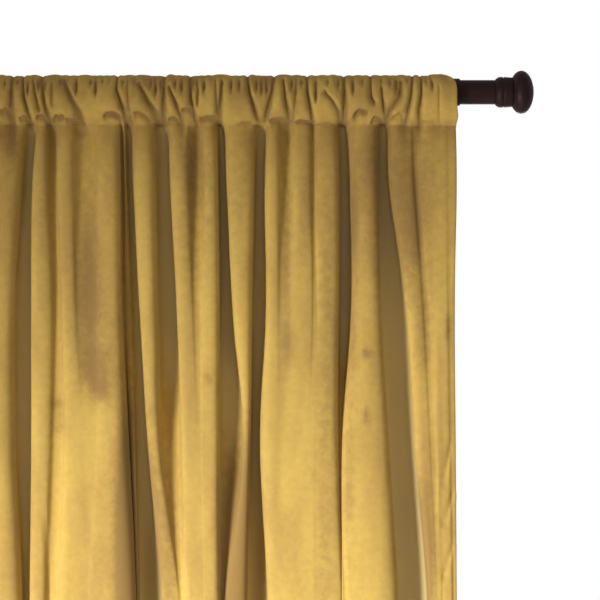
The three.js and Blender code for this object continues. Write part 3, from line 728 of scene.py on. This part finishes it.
def stitches(places, alongs):
    # short bowed threads at the places, in the directions of alongs
    s = stitch
    verts, faces = [], []
    for middle, along in zip(places, alongs):
        along = along / np.linalg.norm(along)
        out = np.array([along[1], -along[0], 0.0])
        out = out / max(np.linalg.norm(out), 1e-6)
        third = np.cross(along, out)
        first = len(verts)
        for i in range(s["steps"] + 1):
            t = i / s["steps"]
            bow = s["lift"] - s["drop"] * (2 * t - 1) ** 2
            centre = middle + along * s["length"] * (t - 0.5) + out * bow
            for k in range(s["sides"]):
                angle = math.tau * k / s["sides"]
                verts.append(centre + s["radius"] * (math.cos(angle) * out + math.sin(angle) * third))
        for i in range(s["steps"]):
            for k in range(s["sides"]):
                a, b = first + i * s["sides"] + k, first + i * s["sides"] + (k + 1) % s["sides"]
                faces.append((a, b, b + s["sides"], a + s["sides"]))
        faces.append(tuple(range(first, first + s["sides"]))[::-1])
        last = first + s["steps"] * s["sides"]
        faces.append(tuple(range(last, last + s["sides"])))
    return verts, faces


seamArc = np.concatenate([[0], np.cumsum(np.hypot(np.diff(seamX), np.diff(seamY)))])
at = np.arange(stitch["fromEnd"], seamArc[-1] - stitch["fromEnd"], stitch["pitch"])
seamZ = panel["seam"] - stitch["below"] + seamWander(np.interp(at, seamArc, seamX))
middles = np.stack([np.interp(at, seamArc, seamX), np.interp(at, seamArc, seamY), seamZ], 1)
ahead = np.stack([np.interp(at + 0.5, seamArc, seamX), np.interp(at + 0.5, seamArc, seamY), seamZ], 1)
verts, faces = stitches(middles, ahead - middles)
seamThread = meshObject("seam_stitching", verts, faces, threadFinish)
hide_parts("curtain_panel")
print("stitches", len(at))

# curtain rod with its collars and knobs
rod = dict(outerRadius=14.3, innerRadius=12.7, wall=1.0, left=-366.0, outerRight=330.2, innerLeft=20.0,
           right=366.0, round=1.6, around=96)
knob = dict(collarRadius=15.9, collarLength=18.7, endRadius=15.3, plug=16.0, hole=4.4,
            grooveAt=9.4, grooveDeep=0.8, grooveHalf=1.1, shoulder=3.6,
            radius=22.4, half=12.8, middle=9.4, tip=0.01, stud=4.0, studLength=10.0, gap=0.3, steps=40)


def turnedPiece(name, profile, node, mirror=False, at=0.0):
    # a ring of points for each (radius, x) of the profile, turned round the rod's axis
    around = rod["around"]
    sign = -1 if mirror else 1
    verts, faces = [], []
    for radius, along in profile:
        for k in range(around):
            angle = math.tau * k / around
            verts.append((at + sign * along, radius * math.cos(angle), radius * math.sin(angle)))
    for i in range(len(profile) - 1):
        for k in range(around):
            a, b = i * around + k, i * around + (k + 1) % around
            quad = (a, b, b + around, a + around)
            faces.append(quad[::-1] if mirror else quad)
    obj = meshObject(name, verts, faces, bronzePaint)
    obj.data.validate()
    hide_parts(node)
    return obj


def rounded(corner, before, after, size, steps=5):
    # points round a corner of a profile, size from it along both of its sides
    corner, before, after = (np.array(q, float) for q in (corner, before, after))
    a = corner + (before - corner) / np.linalg.norm(before - corner) * size
    b = corner + (after - corner) / np.linalg.norm(after - corner) * size
    return [tuple(a * (1 - t) ** 2 + corner * 2 * t * (1 - t) + b * t * t)
            for t in np.linspace(0, 1, steps + 1)]


def roundedProfile(corners):
    # corners: radius, x, size of rounding
    found = [tuple(corners[0][:2])]
    for before, corner, after in zip(corners, corners[1:], corners[2:]):
        found += rounded(corner[:2], before[:2], after[:2], corner[2]) if corner[2] else [tuple(corner[:2])]
    return found + [tuple(corners[-1][:2])]


r = rod
turnedPiece("rod_outer_tube_painted", roundedProfile([
    (r["outerRadius"] - r["wall"], r["left"], 0), (r["outerRadius"], r["left"], 0.3),
    (r["outerRadius"], r["outerRight"], r["round"]), (r["outerRadius"] - r["wall"], r["outerRight"], 0.3),
    (r["outerRadius"] - r["wall"], r["left"], 0)]), "rod_outer_tube")
turnedPiece("rod_inner_tube_painted", roundedProfile([
    (r["innerRadius"] - r["wall"], r["innerLeft"], 0), (r["innerRadius"], r["innerLeft"], 0.3),
    (r["innerRadius"], r["right"], 0.3), (r["innerRadius"] - r["wall"], r["right"], 0.3),
    (r["innerRadius"] - r["wall"], r["innerLeft"], 0)]), "rod_inner_tube")
k = knob
for side, tubeRadius, end in (("right", r["innerRadius"], r["right"]), ("left", r["outerRadius"], r["left"])):
    plugRadius = tubeRadius - r["wall"] - k["gap"]
    mirror = side == "left"
    turnedPiece("finial_collar_painted_" + side, roundedProfile([
        (k["hole"], -k["plug"], 0), (plugRadius, -k["plug"], 0.8), (plugRadius, k["gap"], 0.1),
        (tubeRadius - 0.3, k["gap"], 0.1), (k["collarRadius"], k["gap"] + k["shoulder"], 2.2),
        (k["collarRadius"] + 0.1, k["grooveAt"] - k["grooveHalf"], 0.4),
        (k["collarRadius"] - k["grooveDeep"], k["grooveAt"], 0.5),
        (k["collarRadius"], k["grooveAt"] + k["grooveHalf"], 0.4), (k["endRadius"], k["collarLength"], 0.6),
        (k["hole"], k["collarLength"], 0)]), "finial_collar_" + side, mirror, end)
    start = math.acos((k["gap"] - k["middle"]) / k["half"])
    ball = [(max(k["radius"] * math.sin(a), k["tip"]), k["middle"] + k["half"] * math.cos(a))
            for a in np.linspace(start, 0.0, k["steps"])]
    screw = [(k["tip"], -k["studLength"]), (k["stud"], -k["studLength"]), (k["stud"], k["gap"])]
    turnedPiece("finial_knob_painted_" + side, screw + ball, "finial_knob_" + side, mirror,
                end + (-1 if mirror else 1) * k["collarLength"])
print("rod", rod["right"] - rod["left"], "mm long, with collars and knobs")

# floor, backdrop and lamps
studio = dict(floor=-2.14, floorHalf=6.0, floorColour="#e9e7e3", floorClouds="#dedcd8", floorRoughness=0.8,
              daylight=0.5, back="#ffffff", shade="#e9e4ec")  # floor and floorHalf in metres
floorMaterial, tree, output = newMaterial("matt_floor")
place = addNode(tree, "ShaderNodeTexCoord")
cloudy = addNode(tree, "ShaderNodeTexNoise", {"Scale": 1.5, "Detail": 4}, {"Vector": (place, "Object")})
tone = addNode(tree, "ShaderNodeMix",
               {"data_type": "RGBA", 6: hexColour(studio["floorColour"]),
                7: hexColour(studio["floorClouds"])},
               {0: (cloudy, "Fac")})
shader = addNode(tree, "ShaderNodeBsdfPrincipled", {"Roughness": studio["floorRoughness"]},
                 {"Base Color": (tone, 2)})
tree.links.new(shader.outputs["BSDF"], output.inputs["Surface"])
floorMesh = bpy.data.meshes.new("floor")
half, low = studio["floorHalf"], studio["floor"]
corners = [(-half, -half, low), (half, -half, low), (half, half, low), (-half, half, low)]
floorMesh.from_pydata(corners, [], [(0, 1, 2, 3)])
floorMesh.materials.append(floorMaterial)
floor = bpy.data.objects.new("floor", floorMesh)
bpy.context.scene.collection.objects.link(floor)

# the backdrop is white to the eye, but lights the cloth at less than half that strength and a little cooler
world = bpy.data.worlds.new("studio")
bpy.context.scene.world = world
world.use_nodes = True
tree = world.node_tree
seen = addNode(tree, "ShaderNodeLightPath")
strength = addNode(tree, "ShaderNodeMapRange", {"To Min": studio["daylight"], "To Max": 1.0},
                   {"Value": (seen, "Is Camera Ray")})
backdrop = addNode(tree, "ShaderNodeMix",
                   {"data_type": "RGBA", 6: hexColour(studio["shade"]), 7: hexColour(studio["back"])},
                   {0: (seen, "Is Camera Ray")})
background = tree.nodes["Background"]
tree.links.new(backdrop.outputs[2], background.inputs["Color"])
tree.links.new(strength.outputs["Result"], background.inputs["Strength"])
bpy.context.scene.view_settings.view_transform = "Standard"

# a strong spot low on the left lights the folds from the side, and its beam falls off over the heading. Weak
# ones fill in from the front and both sides, and one more lights the back. Their sizes are in metres
lights = [
    dict(name="key", at=(-1450, -1620, -1420), aim=(90, 0, -1805), beam=84.0, blend=0.28, power=525.0,
         size=0.35, colour="#fdfcff"),
    dict(name="fill", at=(1300, -1500, -1000), aim=(90, 0, -1438), beam=84.0, blend=0.38, power=12.0,
         size=0.4, colour="#fff4ff"),
    dict(name="front", at=(164, -2500, 0), aim=(164, 0, -300), beam=60.0, blend=0.5, power=10.0, size=0.3,
         colour="#ffcec2"),
    dict(name="side", at=(-1500, -1700, 200), aim=(164, 0, -300), beam=60.0, blend=0.5, power=6.0, size=0.2,
         colour="#ffc8ba"),
    dict(name="rear", at=(500, 2400, -900), aim=(0, 0, -1000), beam=70.0, blend=0.5, power=70.0, size=0.6,
         colour="#fff6ee"),
]
for light in lights:
    data = bpy.data.lights.new(light["name"], "SPOT")
    data.spot_size = math.radians(light["beam"])
    data.spot_blend = light["blend"]
    data.shadow_soft_size = light["size"]
    data.energy = light["power"]
    data.color = hexColour(light["colour"])[:3]
    lamp = bpy.data.objects.new(light["name"], data)
    lamp.location = Vector(light["at"]) * mm
    lamp.rotation_euler = (Vector(light["aim"]) - Vector(light["at"])).to_track_quat("-Z", "Y").to_euler()
    bpy.context.scene.collection.objects.link(lamp)
print("lamps", len(lights))
